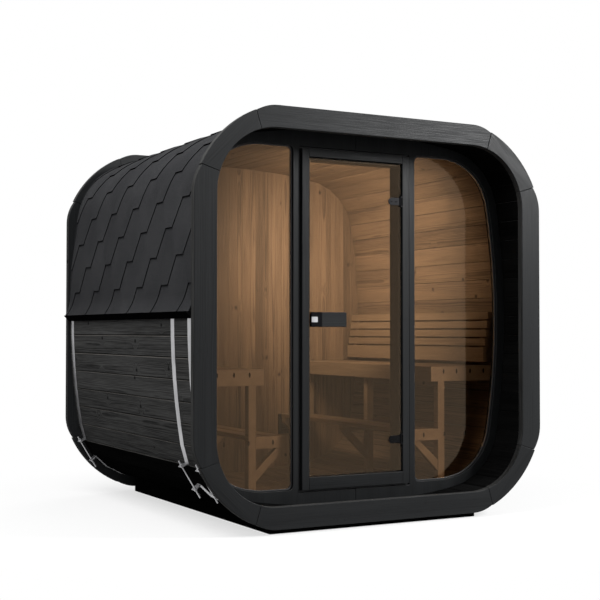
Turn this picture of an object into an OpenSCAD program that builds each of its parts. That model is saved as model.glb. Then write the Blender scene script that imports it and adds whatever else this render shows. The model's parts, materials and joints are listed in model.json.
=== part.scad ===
// Cube sauna: a rounded-square shell of wooden staves running front to back,
// held by sectional end rings, clamped by three steel bands, closed by a glazed
// front wall with a glass door in a shallow porch and by a boarded back wall.
// Millimetres, +Z up, front towards -Y, origin on the ground under the middle.

/* [Overall] */
// Front face of the front ring to rear face of the back ring
depth = 1970; // [1800:10:2400]
// Half the width of the end rings
ring_half = 1047; // [1020:1:1150]
// Ground to the lowest edge of the end rings
ring_bottom = 25; // [10:1:60]

/* [End rings] */
// Thickness of the ring boards along the depth
ring_thick = 38; // [28:1:45]
// Board width of the two upright sides
ring_side_width = 122; // [100:1:140]
// Board width of the top and bottom
ring_rail_width = 112; // [95:1:130]
// Radius of the inner corners
ring_inner_radius = 335; // [280:5:360]
// Radius of the outer edge of the corner boards
ring_corner_radius = 589; // [570:1:610]
// Distance of the corner boards' centre from the outer edge
ring_corner_inset = 570; // [562:1:587]
// Length at each end of the sides and rails over which they round off
ring_end_run = 453; // [437:1:487]
// Radius of the rounded ends of the sides and rails
ring_end_radius = 224; // [200:1:260]
// Angle of the corner joints from the side
ring_joint_angle = 17; // [15:0.5:20]
// Gap between ring boards at a joint
ring_joint_gap = 0.6; // [0.4:0.1:2]

/* [Shell of staves] */
// How far the shell lies inside the rings' outer edge at its widest
shell_reveal = 16; // [8:1:40]
// How far the shell's middle sits above the rings' middle
shell_lift = 3; // [0:1:12]
// Radius of the slightly bowed sides
bow_radius = 3780; // [3200:20:6000]
// Outer radius of the corners
corner_radius = 399; // [360:1:440]
// Thickness of the staves
stave_thick = 36; // [28:1:45]
// Staves in the whole ring
stave_count = 66; // [62:2:70]
// How far the joints of both walls sit above the even spacing
joint_lift = 11; // [0:1:20]
// Bevel along the edges of each stave
stave_bevel = 3; // [1:0.5:5]
// Gap between neighbouring staves
stave_gap = 0.5; // [0.3:0.1:1]

/* [Roof covering] */
// Thickness of the shingle covering
shingle_thick = 5; // [4:1:14]
// Height of the covering's lower edges above the shell's middle
shingle_edge_rise = 21; // [-100:1:200]
// Length over which the covering flares out to the drip edge
flare_run = 95; // [60:5:140]
// How far the covering's flared edge stands out from the shell
flare_out = 28; // [15:1:34]
// Height of the face of the drip edge
drip_height = 34; // [20:1:60]
// How far the drip edge stands out from the shell
drip_out = 40; // [30:1:50]
// Thickness of the drip edge profile
drip_thick = 3; // [2:0.5:6]

/* [Front wall] */
// Front ring's front face to the front wall's front face
porch_depth = 250; // [120:5:500]
// Thickness of the front wall's timber
wall_thick = 48; // [40:1:70]
// Width of the curved rim that follows the shell
frame_width = 54; // [40:1:70]
// Clearance between the wall and the staves
frame_seat = 0.3; // [0.2:0.1:1]
// Distance between the outer faces of the two mullions
mullion_span = 757; // [740:1:850]
// Width of a mullion
mullion_width = 36; // [30:1:60]
// Width of the dark gap round the door frame
frame_gap = 10; // [5:1:15]
// Thickness of the window glass
glass_thick = 8; // [6:1:12]
// Setback of the window glass from the wall's front face
glass_setback = 14; // [8:1:24]
// Width of the black seal round each window
seal_width = 8; // [5:1:12]
// Rounding of the window corners beside the mullions
window_corner = 28; // [12:1:40]
// Panel above the window openings, up to the shell
window_head = 102; // [60:1:170]
// Panel below the window openings, down to the shell
window_foot = 98; // [92:1:150]

/* [Door] */
// Panel above the door frame, up to the shell
door_head_panel = 114; // [60:1:220]
// Panel below the door frame, down to the shell
door_foot_panel = 94; // [60:1:120]
// Width of the frame's uprights and head
door_frame_width = 42; // [35:1:60]
// Height of the sill
door_sill_height = 66; // [45:1:80]
// How far the door frame stands in front of the wall
jamb_proud = 15; // [0:1:25]
// Depth of the door frame
jamb_depth = 110; // [80:1:140]
// Clearance between the glass leaf and its frame
door_clear = 6; // [5:0.5:9]
// Thickness of the glass leaf
leaf_thick = 8; // [6:1:12]
// Setback of the leaf from the frame's front face
leaf_setback = 11; // [8:1:16]
// Clearance between the leaf and the stop behind it
stop_clear = 8; // [6:0.5:12]
// Width of the stop behind the leaf
stop_width = 14; // [12:1:30]
// Height of the lower hinge above the leaf's lower edge
hinge_rise = 169; // [120:1:400]
// Distance of the upper hinge below the leaf's upper edge
hinge_drop = 202; // [120:1:400]
// Reach of a hinge clamp over the glass
clamp_reach = 76; // [50:1:100]
// Height of a hinge clamp
clamp_height = 40; // [30:1:60]
// Thickness of a hinge clamp
clamp_thick = 5; // [4:0.5:6]
// Radius of the hinge knuckles
knuckle_radius = 5; // [4.5:0.1:5.5]
// Length of the fixed knuckles
knuckle_length = 8; // [6:1:15]
// Radius of the hinge pins
pin_radius = 2.5; // [2:0.1:3]
// Height of the latch's middle above the leaf's lower edge
latch_rise = 815; // [700:5:950]
// Height of the latch and the handle
latch_height = 78; // [50:1:100]
// Width of the latch's housing
latch_width = 62; // [40:1:80]
// Thickness of the latch's housing
latch_thick = 16; // [10:1:30]
// Width of the handle
handle_width = 153; // [100:1:200]
// Thickness of the handle
handle_thick = 14; // [8:1:30]

/* [Back wall] */
// Back ring's rear face to the back wall's rear face
back_setback = 60; // [45:5:200]
// Thickness of the back wall boards
back_thick = 45; // [28:1:60]
// Left edge of the vent's cover
vent_x = 374; // [300:1:500]
// Height of the vent's cover above the inner floor
vent_rise = 241; // [150:1:400]
// Width of the vent's cover
vent_width = 150; // [100:5:200]
// Height of the vent's cover
vent_height = 130; // [80:5:160]
// Thickness of the vent's cover
vent_thick = 16; // [8:1:25]

/* [Benches] */
// Height of the upper benches above the inner floor
bench_high_rise = 722; // [620:1:780]
// Height of the lower benches above the inner floor
bench_low_rise = 375; // [320:1:420]
// Reach of the upper benches from the wall at its widest
bench_high_reach = 474; // [420:1:500]
// Reach of the lower benches from the wall at its widest
bench_low_reach = 608; // [570:1:630]
// Gap between the front wall and the benches
bench_front_gap = 4; // [3:1:60]
// Thickness of the bench slats
slat_thick = 26; // [20:1:32]
// Gap between the bench slats
slat_gap = 10; // [6:1:16]
// Height of the cross beams of the upper benches
beam_height = 56; // [45:1:70]
// Height of the brackets of the lower benches
low_beam_height = 34; // [30:1:60]
// Thickness of the end boards and of the upper benches' front rails
rail_thick = 28; // [20:1:35]
// Side of the square legs
leg_side = 42; // [35:1:60]
// Setback of the legs from the upper benches' front edges
leg_inset = 47; // [32:1:60]
// Height above the inner floor at which the braces meet the legs
brace_rise = 142; // [100:1:180]
// Clearance of the backrest above the upper benches
rest_gap = 22; // [15:1:120]
// Height of the backrest
rest_height = 287; // [240:1:400]
// Height of the backrest's lowest slat
rest_low_slat = 84; // [60:1:100]
// Gap between the backrest's slats
rest_slat_gap = 8; // [6:1:12]
// Slats of the backrest
rest_slats = 5; // [3:1:6]
// Distance of the backrest's top from the wall
rest_out = 39; // [24:1:60]
// Lean of the backrest, run over rise
rest_lean = 0.15; // [0:0.01:0.2]

/* [Bands] */
// Width of the steel bands
band_width = 44; // [40:1:70]
// Thickness of the steel bands
band_thick = 1.5; // [1:0.5:3]
// Distance of the front band's middle from the front
band_front_place = 89; // [75:1:120]
// Distance of the middle band's middle from the front
band_middle_place = 300; // [200:5:1000]
// Distance of the back band's middle from the back
band_back_place = 88; // [75:1:200]
// Angle under the level where the upper straps end
strap_end_angle = 23; // [15:1:26]
// Angle under the level where the bottom straps start
strap_start_angle = 40; // [36:1:50]
// How far the clips at the straps' ends stand out
clip_out = 40; // [36:1:50]
// Distance of the tightening rods from the straps
rod_off = 29; // [24:1:30]
// Radius of the tightening rods
rod_radius = 4; // [4:0.5:5]
// Length of a rod above its upper clip
rod_above = 36; // [15:1:45]
// Length of a rod below its lower clip
rod_below = 60; // [20:1:70]

/* [Base] */
// Width of the runners
runner_width = 60; // [45:1:90]
// Distance of the runners' outer faces from the rings' outer edge
runner_inset = 425; // [405:1:480]
// Thickness of the cradles between the runners
cradle_thick = 45; // [35:1:60]

/* [Hidden] */
front = -depth / 2;
back = depth / 2;
eps = 0.01;
ring_z = ring_bottom + ring_half;
ring_corner_centre = ring_half - ring_corner_inset;
ring_straight = ring_half - ring_end_run;
shell_half = ring_half - shell_reveal;
shell_z = ring_z + shell_lift;
floor_z = shell_z - shell_half + stave_thick;
ceiling_z = shell_z + shell_half - stave_thick;
// --- the rounded square of the shell -------------------------------------------
bow = bow_radius - shell_half;
corner_c = (-bow + sqrt(2 * pow(bow_radius - corner_radius, 2) - bow * bow)) / 2;
corner_start = atan2(corner_c, corner_c + bow);
side_len = bow_radius * corner_start * PI / 180;
corner_len = corner_radius * (90 - 2 * corner_start) * PI / 180;
quarter = 2 * side_len + corner_len;
stave_width = 4 * quarter / stave_count;
half_count = stave_count / 2 - 1;

// direction of the outward normal at length s from the bottom middle, from straight down
function turn(s) =
    s < 0 ? -turn(-s) :
    s > quarter ? 180 - turn(2 * quarter - s) :
    s <= side_len ? s / bow_radius * 180 / PI :
    s <= side_len + corner_len ? corner_start + (s - side_len) / corner_radius * 180 / PI :
    90 - (quarter - s) / bow_radius * 180 / PI;

// point at length s from the bottom middle, moved out by off, as [x, z]
function rim(s, off = 0) =
    s < 0 ? [-rim(-s, off)[0], rim(-s, off)[1]] :
    s > quarter ? [rim(2 * quarter - s, off)[0], 2 * shell_z - rim(2 * quarter - s, off)[1]] :
    s <= side_len ?
        [(bow_radius + off) * sin(turn(s)), shell_z + bow - (bow_radius + off) * cos(turn(s))] :
    s <= side_len + corner_len ?
        [corner_c + (corner_radius + off) * sin(turn(s)),
         shell_z - corner_c - (corner_radius + off) * cos(turn(s))] :
        [(bow_radius + off) * sin(turn(s)) - bow, shell_z - (bow_radius + off) * cos(turn(s))];

// length along the rim from the bottom middle to joint i on either half
function joint_at(i) = stave_width * (i + 0.5) + joint_lift;

// closed outline through every joint, moved out by off
function full_rim(off) = concat(
    [for (i = [0:half_count]) rim(joint_at(i), off)],
    [for (i = [half_count:-1:0]) rim(-joint_at(i), off)]);

// lay a profile drawn as [x, z] along the depth, from y0 to y1
module along(y0, y1) {
    translate([0, y1, 0]) rotate([90, 0, 0]) linear_extrude(y1 - y0) children();
}

// outline of one stave between the lengths s0 and s1
module stave_profile(s0, s1) {
    a = s0 + stave_gap / 2;
    b = s1 - stave_gap / 2;
    t = stave_thick;
    c = stave_bevel;
    polygon([rim(a + c), rim(b - c), rim(b, -c), rim(b, c - t),
             rim(b - c, -t), rim(a + c, -t), rim(a, c - t), rim(a, -c)]);
}

stave_y0 = front + ring_thick;
stave_y1 = back - ring_thick;

// staves a..b of one half, side = 1 right, -1 left
module staves(a, b, side) {
    for (i = [a:b])
        along(stave_y0, stave_y1)
            scale([side, 1]) stave_profile(joint_at(i - 1), joint_at(i));
}

// stave numbers that begin each part of the shell
floor_last = 5;
corner_last = 10;
wall_last = 22;
upper_last = 27;

module floor_staves() {
    color("saddlebrown") {
        along(stave_y0, stave_y1) stave_profile(-joint_at(0), joint_at(0));
        staves(1, floor_last, 1);
        staves(1, floor_last, -1);
    }
}
module lower_corner_staves_left() { color("saddlebrown") staves(floor_last + 1, corner_last, -1); }
module lower_corner_staves_right() { color("saddlebrown") staves(floor_last + 1, corner_last, 1); }
module left_wall_staves() { color("dimgray") staves(corner_last + 1, wall_last, -1); }
module right_wall_staves() { color("dimgray") staves(corner_last + 1, wall_last, 1); }
module upper_corner_staves_left() { color("dimgray") staves(wall_last + 1, upper_last, -1); }
module upper_corner_staves_right() { color("dimgray") staves(wall_last + 1, upper_last, 1); }
module roof_staves() {
    color("dimgray") {
        along(stave_y0, stave_y1)
            stave_profile(joint_at(half_count), 4 * quarter - joint_at(half_count));
        staves(upper_last + 1, half_count, 1);
        staves(upper_last + 1, half_count, -1);
    }
}

// --- end rings -----------------------------------------------------------------
inner_x = ring_half - ring_side_width;
inner_z = ring_half - ring_rail_width;
arc_x = inner_x - ring_inner_radius;
arc_z = inner_z - ring_inner_radius;

// opening in the ring, about the ring's middle
module ring_opening() {
    union() {
        square([2 * inner_x, 2 * arc_z], center = true);
        square([2 * arc_x, 2 * inner_z], center = true);
        for (sx = [-1, 1], sz = [-1, 1])
            translate([sx * arc_x, sz * arc_z]) circle(ring_inner_radius, $fn = 96);
    }
}

// band of one board before its ends are cut
module board_outline() {
    end_x = ring_half - ring_end_radius;
    union() {
        translate([0, -ring_straight]) square([ring_half, 2 * ring_straight]);
        intersection() {
            for (sz = [-1, 1])
                translate([end_x, sz * ring_straight]) circle(ring_end_radius, $fn = 96);
            translate([0, -ring_half]) square(2 * ring_half);
        }
        translate([0, -ring_straight - ring_end_radius])
            square([end_x, 2 * (ring_straight + ring_end_radius)]);
    }
}

// wedge from the inner corner arc's centre, between two angles
module wedge(a0, a1) {
    r = 2 * ring_half;
    polygon([[0, 0], r * [cos(a0), sin(a0)], r * [cos((a0 + a1) / 2), sin((a0 + a1) / 2)],
             r * [cos(a1), sin(a1)]]);
}

gap_angle = asin(ring_joint_gap / 2 / ring_inner_radius);

// right side board, about the ring's middle
module side_board() {
    difference() {
        board_outline();
        ring_opening();
        translate([0, -2 * ring_half]) square([arc_x, 4 * ring_half]);
        for (sz = [-1, 1]) scale([1, sz]) translate([arc_x, arc_z])
            wedge(ring_joint_angle - gap_angle, 170);
    }
}

// top board, about the ring's middle
module rail_board() {
    difference() {
        rotate(90) board_outline();
        ring_opening();
        translate([-2 * ring_half, -2 * ring_half]) square([4 * ring_half, 2 * ring_half + arc_z]);
        for (sx = [-1, 1]) scale([sx, 1]) translate([arc_x, arc_z])
            wedge(-80, 90 - ring_joint_angle + gap_angle);
    }
}

// upper right corner board, about the ring's middle
module corner_board() {
    intersection() {
        difference() {
            translate([ring_corner_centre, ring_corner_centre]) circle(ring_corner_radius, $fn = 180);
            ring_opening();
        }
        translate([arc_x, arc_z]) wedge(ring_joint_angle + gap_angle, 90 - ring_joint_angle - gap_angle);
    }
}

module ring_boards(y0) {
    translate([0, 0, ring_z]) along(y0, y0 + ring_thick) children();
}

module ring_sides(y0) {
    color("dimgray") for (sx = [-1, 1]) ring_boards(y0) scale([sx, 1]) side_board();
}
module ring_corners(y0) {
    color("dimgray") for (sx = [-1, 1], sz = [-1, 1]) ring_boards(y0) scale([sx, sz]) corner_board();
}
module ring_rail(y0, sz) {
    color("dimgray") ring_boards(y0) scale([1, sz]) rail_board();
}

module front_ring_sides() { ring_sides(front); }
module front_ring_corners() { ring_corners(front); }
module front_ring_top() { ring_rail(front, 1); }
module front_ring_bottom() { ring_rail(front, -1); }
module back_ring_sides() { ring_sides(back - ring_thick); }
module back_ring_corners() { ring_corners(back - ring_thick); }
module back_ring_top() { ring_rail(back - ring_thick, 1); }
module back_ring_bottom() { ring_rail(back - ring_thick, -1); }

// --- what lies on the shell ----------------------------------------------------
seat = 0.2;
edge_run = stave_gap / 2 + stave_bevel;

// lengths at which the staves' flat faces start and end, between two lengths
function flats(s0, s1) = [for (i = [-half_count - 1:half_count + 1], e = [-edge_run, edge_run])
    let (s = (i < 0 ? -joint_at(-i - 1) : joint_at(i)) + e) if (s > s0 + 1 && s < s1 - 1) s];
function rim_line(s0, s1, off) = [for (s = concat([s0], flats(s0, s1), [s1])) rim(s, off)];
function reversed(v) = [for (i = [len(v) - 1:-1:0]) v[i]];
function mirror_points(v) = [for (p = v) [-p[0], p[1]]];

// --- roof covering -------------------------------------------------------------
// length along the rim where the covering ends on the right wall
cover_s = quarter + shingle_edge_rise;
// how far the covering's outer face stands out at length s
function cover_off(s) = seat + shingle_thick
    + (flare_out - shingle_thick) * pow(max(0, 1 - (s - cover_s) / flare_run), 2);
cover_in = [for (s = concat([cover_s], flats(cover_s, 2 * quarter))) rim(s, seat)];
cover_out = [for (s = concat([for (k = [0:3]) cover_s + k * flare_run / 4],
    flats(cover_s + flare_run, 2 * quarter))) rim(s, cover_off(s))];

module roof_shingles() {
    color("dimgray") along(stave_y0 + seat, stave_y1 - seat)
        polygon(concat(cover_in, reversed(mirror_points(cover_in)), mirror_points(cover_out),
            reversed(cover_out)));
}

module drip_edges() {
    x0 = rim(cover_s, seat)[0];
    z1 = rim(cover_s)[1] - seat;
    color("black") for (side = [-1, 1]) along(stave_y0 + seat, stave_y1 - seat)
        scale([side, 1]) polygon([
            [x0 + band_thick + seat, z1 - drip_height], [x0 + drip_out / 4, z1 - drip_height],
            [x0 + drip_out, z1 - drip_thick], [x0 + drip_out, z1], [x0 + band_thick + seat, z1]]);
}

// --- steel bands ---------------------------------------------------------------
function wall_s(angle) = quarter - side_len - (angle - corner_start) * corner_radius * PI / 180;
strap_end_s = wall_s(strap_end_angle);
strap_start_s = wall_s(strap_start_angle);
strap_top_s = cover_s - drip_height + 4;
clip_thick = 5;
// strap left beyond a clip
clip_step = 2;

module strap(s0, s1) {
    polygon(concat(rim_line(s0, s1, seat), reversed(rim_line(s0, s1, seat + band_thick))));
}

// angle clip standing out from the strap's end, on the right half
module clip(s, dir) {
    translate(rim(s, seat + band_thick / 2)) rotate(turn(s) - 90)
        translate([0, dir < 0 ? -clip_thick - clip_step : clip_step]) square([clip_out, clip_thick]);
}

module tightener(y, side) {
    a = rim(strap_end_s, seat + band_thick + rod_off);
    b = rim(strap_start_s, seat + band_thick + rod_off);
    u = (b - a) / norm(b - a);
    scale([side, 1, 1])
        translate([a[0] - u[0] * rod_above, y, a[1] - u[1] * rod_above])
        rotate([0, atan2(u[0], u[1]), 0])
        cylinder(r = rod_radius, h = norm(b - a) + rod_above + rod_below, $fn = 32);
}

module band(y) {
    color("silver") {
        for (side = [-1, 1]) tightener(y, side);
        along(y - band_width / 2, y + band_width / 2) for (side = [-1, 1]) scale([side, 1]) {
            strap(strap_end_s, strap_top_s);
            clip(strap_end_s, 1);
            clip(strap_start_s, -1);
        }
        along(y - band_width / 2, y + band_width / 2) strap(-strap_start_s, strap_start_s);
    }
}

module band_front() { band(front + band_front_place); }
module band_middle() { band(front + band_middle_place); }
module band_back() { band(back - band_back_place); }

// --- front wall ----------------------------------------------------------------
wall_y0 = front + porch_depth;
wall_y1 = wall_y0 + wall_thick;
mull_out = mullion_span / 2;
mull_in = mull_out - mullion_width;
frame_out = mull_in - frame_gap;
frame_inset = stave_thick + frame_seat + frame_width;

window_top = ceiling_z - window_head;
window_bottom = floor_z + window_foot;
door_frame_top = ceiling_z - door_head_panel;
door_frame_bottom = floor_z + door_foot_panel;

module shell_area(off) { polygon(full_rim(off)); }

// the same outline in true arcs
module shell_arcs(off) {
    r = bow_radius + off;
    cut = r * (sin(corner_start) + cos(corner_start)) - bow;
    big = 1.1 * shell_half;
    translate([0, shell_z]) union() {
        intersection() {
            translate([-bow, 0]) circle(r, $fn = 720);
            translate([bow, 0]) circle(r, $fn = 720);
            translate([0, -bow]) circle(r, $fn = 720);
            translate([0, bow]) circle(r, $fn = 720);
            polygon([[big, cut - big], [cut - big, big], [big - cut, big], [-big, cut - big],
                     [-big, big - cut], [big - cut, -big], [cut - big, -big], [big, big - cut]]);
        }
        for (sx = [-1, 1], sz = [-1, 1])
            translate([sx * corner_c, sz * corner_c]) circle(corner_radius + off, $fn = 180);
    }
}

// opening for the window beside a mullion, drawn on the right half
module window_area(inset) {
    r = window_corner;
    intersection() {
        shell_arcs(-frame_inset - inset);
        union() {
            translate([mull_out + inset + r, window_bottom + inset])
                square([shell_half, window_top - window_bottom - 2 * inset]);
            translate([mull_out + inset, window_bottom + inset + r])
                square([shell_half, window_top - window_bottom - 2 * (inset + r)]);
            for (z = [window_bottom + inset + r, window_top - inset - r])
                translate([mull_out + inset + r, z]) circle(r, $fn = 32);
        }
    }
}

// opening between the mullions
module doorway_area() {
    translate([-mull_in, door_frame_bottom - frame_gap])
        square([2 * mull_in, door_frame_top - door_frame_bottom + 2 * frame_gap]);
}

// half of the wall's panel: curved rim, mullion and corner blocks in one
module wall_panel(side) {
    color("dimgray") along(wall_y0, wall_y1) scale([side, 1]) difference() {
        intersection() {
            shell_area(-stave_thick - frame_seat);
            translate([frame_seat, 0]) square([shell_half, 2 * shell_z]);
        }
        window_area(0);
        doorway_area();
    }
}
module front_panel_left() { wall_panel(-1); }
module front_panel_right() { wall_panel(1); }

glass_y = wall_y0 + glass_setback;
module window_seals() {
    color("black") for (side = [-1, 1]) along(glass_y - 3, glass_y + glass_thick + 3)
        scale([side, 1]) difference() {
            window_area(0.3);
            window_area(seal_width);
        }
}
module window_glass(side) {
    color("peru") along(glass_y, glass_y + glass_thick) scale([side, 1]) window_area(seal_width + 0.2);
}
module left_window() { window_glass(-1); }
module right_window() { window_glass(1); }

// --- door frame ----------------------------------------------------------------
jamb_y0 = wall_y0 - jamb_proud;
jamb_y1 = jamb_y0 + jamb_depth;
leaf_y0 = jamb_y0 + leaf_setback;
stop_y0 = leaf_y0 + leaf_thick + stop_clear;
open_x = frame_out - door_frame_width;
open_z0 = door_frame_bottom + door_sill_height;
open_z1 = door_frame_top - door_frame_width;

module door_jamb(side) {
    x = side > 0 ? open_x : -frame_out;
    color("dimgray") {
        translate([x, jamb_y0, door_frame_bottom])
            cube([door_frame_width, jamb_depth, door_frame_top - door_frame_bottom]);
        translate([side > 0 ? open_x - stop_width : -open_x, stop_y0, open_z0])
            cube([stop_width, jamb_y1 - stop_y0, open_z1 - open_z0]);
    }
}
module door_jamb_left() { door_jamb(-1); }
module door_jamb_right() { door_jamb(1); }
module door_head() {
    color("dimgray") {
        translate([-open_x, jamb_y0, open_z1]) cube([2 * open_x, jamb_depth, door_frame_width]);
        translate([-open_x + stop_width, stop_y0, open_z1 - stop_width])
            cube([2 * (open_x - stop_width), jamb_y1 - stop_y0, stop_width]);
    }
}
module door_sill() {
    color("dimgray") translate([-open_x, jamb_y0, door_frame_bottom])
        cube([2 * open_x, jamb_depth, door_sill_height]);
}
// dark packing that carries the door frame in the panel's opening
module door_packing() {
    y0 = wall_y0 + 12;
    w = frame_gap - 0.4;
    z0 = door_frame_bottom - frame_gap + 0.2;
    z1 = door_frame_top + frame_gap - 0.2;
    color("black") along(y0, wall_y1) difference() {
        translate([-mull_in + 0.2, z0]) square([2 * mull_in - 0.4, z1 - z0]);
        translate([-frame_out - 0.2, door_frame_bottom - 0.2])
            square([2 * frame_out + 0.4, door_frame_top - door_frame_bottom + 0.4]);
    }
}

// --- door ----------------------------------------------------------------------
hinge_x = open_x - 10;
hinge_y = leaf_y0 - 6;
leaf_x = open_x - door_clear;
leaf_z0 = open_z0 + door_clear;
leaf_z1 = open_z1 - door_clear;
hinge_heights = [leaf_z0 + hinge_rise, leaf_z1 - hinge_drop];
latch_z = leaf_z0 + latch_rise;

module door_leaf() {
    color("peru") translate([-leaf_x, leaf_y0, leaf_z0])
        cube([2 * leaf_x, leaf_thick, leaf_z1 - leaf_z0]);
}

// plate with a round end, towards the left of the hinge axis
module clamp_plate(reach, start, t) {
    r = clamp_height / 2;
    rotate([90, 0, 0]) linear_extrude(t) union() {
        translate([-reach + r, 0]) circle(r, $fn = 48);
        translate([-reach + r, -r]) square([reach - r - start, 2 * r]);
    }
}
module door_hinge_clamps() {
    h = clamp_height;
    color("darkslategray") for (z = hinge_heights) translate([hinge_x, 0, z]) difference() {
        union() {
            translate([0, leaf_y0 - 0.2, 0]) clamp_plate(clamp_reach, 0, clamp_thick);
            difference() {
                translate([0, hinge_y, -h / 2]) cylinder(r = knuckle_radius, h = h, $fn = 48);
                translate([-2 * knuckle_radius, leaf_y0 - 0.2, -h])
                    cube([4 * knuckle_radius, 20, 2 * h]);
            }
        }
        translate([0, hinge_y, -h]) cylinder(r = pin_radius + 0.05, h = 2 * h, $fn = 48);
    }
}
module door_hinge_brackets() {
    h = clamp_height / 2;
    k = knuckle_length;
    color("darkslategray") for (z = hinge_heights) translate([hinge_x, 0, z]) {
        for (z0 = [-h - 1 - k, h + 1]) {
            translate([0, hinge_y, z0]) cylinder(r = knuckle_radius, h = k, $fn = 48);
            translate([0, hinge_y - knuckle_radius, z0])
                cube([open_x - hinge_x - 0.2, 2 * knuckle_radius - 1, k]);
        }
        translate([0, hinge_y, -h - k]) cylinder(r = pin_radius, h = 2 * (h + k), $fn = 48);
    }
}
module door_latch() {
    x0 = -leaf_x + 4;
    color("black") translate([x0, leaf_y0 - 0.2 - latch_thick, latch_z - latch_height / 2])
        cube([latch_width, latch_thick, latch_height]);
    color("silver") translate([x0 - 1, leaf_y0 - 0.2 - latch_thick - 5, latch_z - 14])
        cube([36, 6, 28]);
}
module door_handle() {
    x0 = -leaf_x + 4 + latch_width + 0.3;
    color("dimgray") translate([x0, leaf_y0 - 0.2 - handle_thick, latch_z - latch_height / 2])
        cube([handle_width, handle_thick, latch_height]);
}

// --- back wall -----------------------------------------------------------------
back_y1 = back - back_setback;
back_y0 = back_y1 - back_thick;
module back_wall() {
    color("peru") along(back_y0, back_y1) shell_area(-stave_thick - frame_seat);
}
module vent_cover() {
    color("dimgray") translate([vent_x, back_y0 - seat - vent_thick, floor_z + vent_rise])
        cube([vent_width, vent_thick, vent_height]);
}

// --- benches -------------------------------------------------------------------
bench_y0 = wall_y1 + bench_front_gap;
bench_y1 = back_y0 - vent_thick - 4;
bench_high = floor_z + bench_high_rise;
bench_low = floor_z + bench_low_rise;
bench_high_edge = shell_half - stave_thick - bench_high_reach;
bench_low_edge = shell_half - stave_thick - bench_low_reach;
brace_foot = floor_z + brace_rise;
rest_bottom = bench_high + rest_gap;
rest_top = rest_bottom + rest_height;

// half width of the shell's inside at height z, on the bowed part of the wall
function inside_x(z) = sqrt(pow(bow_radius - stave_thick, 2) - pow(z - shell_z, 2)) - bow;

leg_x = bench_high_edge + leg_inset;
leg_ys = [bench_y0 + 1, (bench_y0 + bench_y1 - leg_side) / 2, bench_y1 - leg_side - 4];
beam_z = bench_high - slat_thick - beam_height;
low_beam_z = bench_low - slat_thick - low_beam_height;

slat_y0 = bench_y0 + rail_thick + 0.3;

// slats of a bench along the depth, from x0 to x1, their top at z
module slats(x0, x1, z, n) {
    w = (x1 - x0 - (n - 1) * slat_gap) / n;
    for (i = [0:n - 1])
        translate([x0 + i * (w + slat_gap), slat_y0, z - slat_thick])
            cube([w, bench_y1 - slat_y0, slat_thick]);
}
module mirrored(side) { scale([side, 1, 1]) children(); }

module high_slats(side) {
    x1 = inside_x(bench_high - slat_thick) - 4;
    color("burlywood") mirrored(side) slats(bench_high_edge + rail_thick + 3, x1, bench_high, 5);
}
module low_slats(side) {
    color("burlywood") mirrored(side) slats(bench_low_edge, leg_x - 0.3, bench_low, 2);
}
module bench_slats_left() { high_slats(-1); low_slats(-1); }
module bench_slats_right() { high_slats(1); low_slats(1); }

module bench_frame(side) {
    x1 = inside_x(beam_z) - 3;
    h = slat_thick + beam_height;
    color("burlywood") mirrored(side) {
        // end boards over the slats' front ends, and the upper bench's front rail
        translate([bench_high_edge, bench_y0, beam_z])
            cube([x1 - bench_high_edge, rail_thick, h]);
        translate([bench_high_edge, bench_y0 + 1, beam_z])
            cube([rail_thick, bench_y1 - bench_y0 - 1, h]);
        translate([bench_low_edge, bench_y0, low_beam_z])
            cube([leg_x + 1 - bench_low_edge, rail_thick, slat_thick + low_beam_height]);
        for (y = leg_ys) bench_support(y, x1);
    }
}
module bench_support(y, x1) {
        // cross beam under the upper slats
        translate([bench_high_edge + 2, y, beam_z])
            cube([x1 - bench_high_edge - 2, leg_side, beam_height - 0.2]);
        // leg down to the shell
        along(y, y + leg_side) difference() {
            translate([leg_x, 0]) square([leg_side, beam_z + 1]);
            difference() {
                square([shell_half, shell_z]);
                shell_area(-stave_thick - 0.3);
            }
        }
        // bracket of the lower bench
        translate([bench_low_edge + 2, y, low_beam_z])
            cube([leg_x - bench_low_edge, leg_side, low_beam_height - 0.2]);
        along(y + 4, y + leg_side - 4)
            polygon([[bench_low_edge + 6, low_beam_z + 1], [bench_low_edge + 56, low_beam_z + 1],
                     [leg_x + 1, brace_foot + 60], [leg_x + 1, brace_foot]]);
}
module bench_frame_left() { bench_frame(-1); }
module bench_frame_right() { bench_frame(1); }

// boards behind the upper benches, on two posts against the wall
rest_thick = 22;
post_width = 40;
module rest_side() {
    y0 = bench_y0 + 20;
    y1 = bench_y1;
    pitch = (rest_height - rest_low_slat) / (rest_slats - 1);
    top_x = inside_x(rest_top) - rest_out;
    for (i = [0:rest_slats - 1]) {
        z = i == 0 ? rest_bottom : rest_top - (rest_slats - i) * pitch + rest_slat_gap;
        w = i == 0 ? rest_low_slat : pitch - rest_slat_gap;
        translate([top_x - (rest_top - z - w / 2) * rest_lean - rest_thick, y0, z])
            cube([rest_thick, y1 - y0, w]);
    }
    for (y = [y0 + post_width, y1 - 2 * post_width]) along(y, y + post_width) polygon([
        [top_x - 0.5, rest_top],
        [inside_x(rest_top) - 1, rest_top],
        [inside_x(rest_bottom) - 1, rest_bottom],
        [top_x - 0.5 - rest_height * rest_lean, rest_bottom]]);
}
module backrest() {
    color("burlywood") for (side = [-1, 1]) mirrored(side) rest_side();
}

// --- base ----------------------------------------------------------------------
runner_reach = ring_half - runner_inset;
runner_y0 = front + ring_thick + 2;
runner_y1 = back - ring_thick - 42;

band_clear = 0.3;

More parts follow.
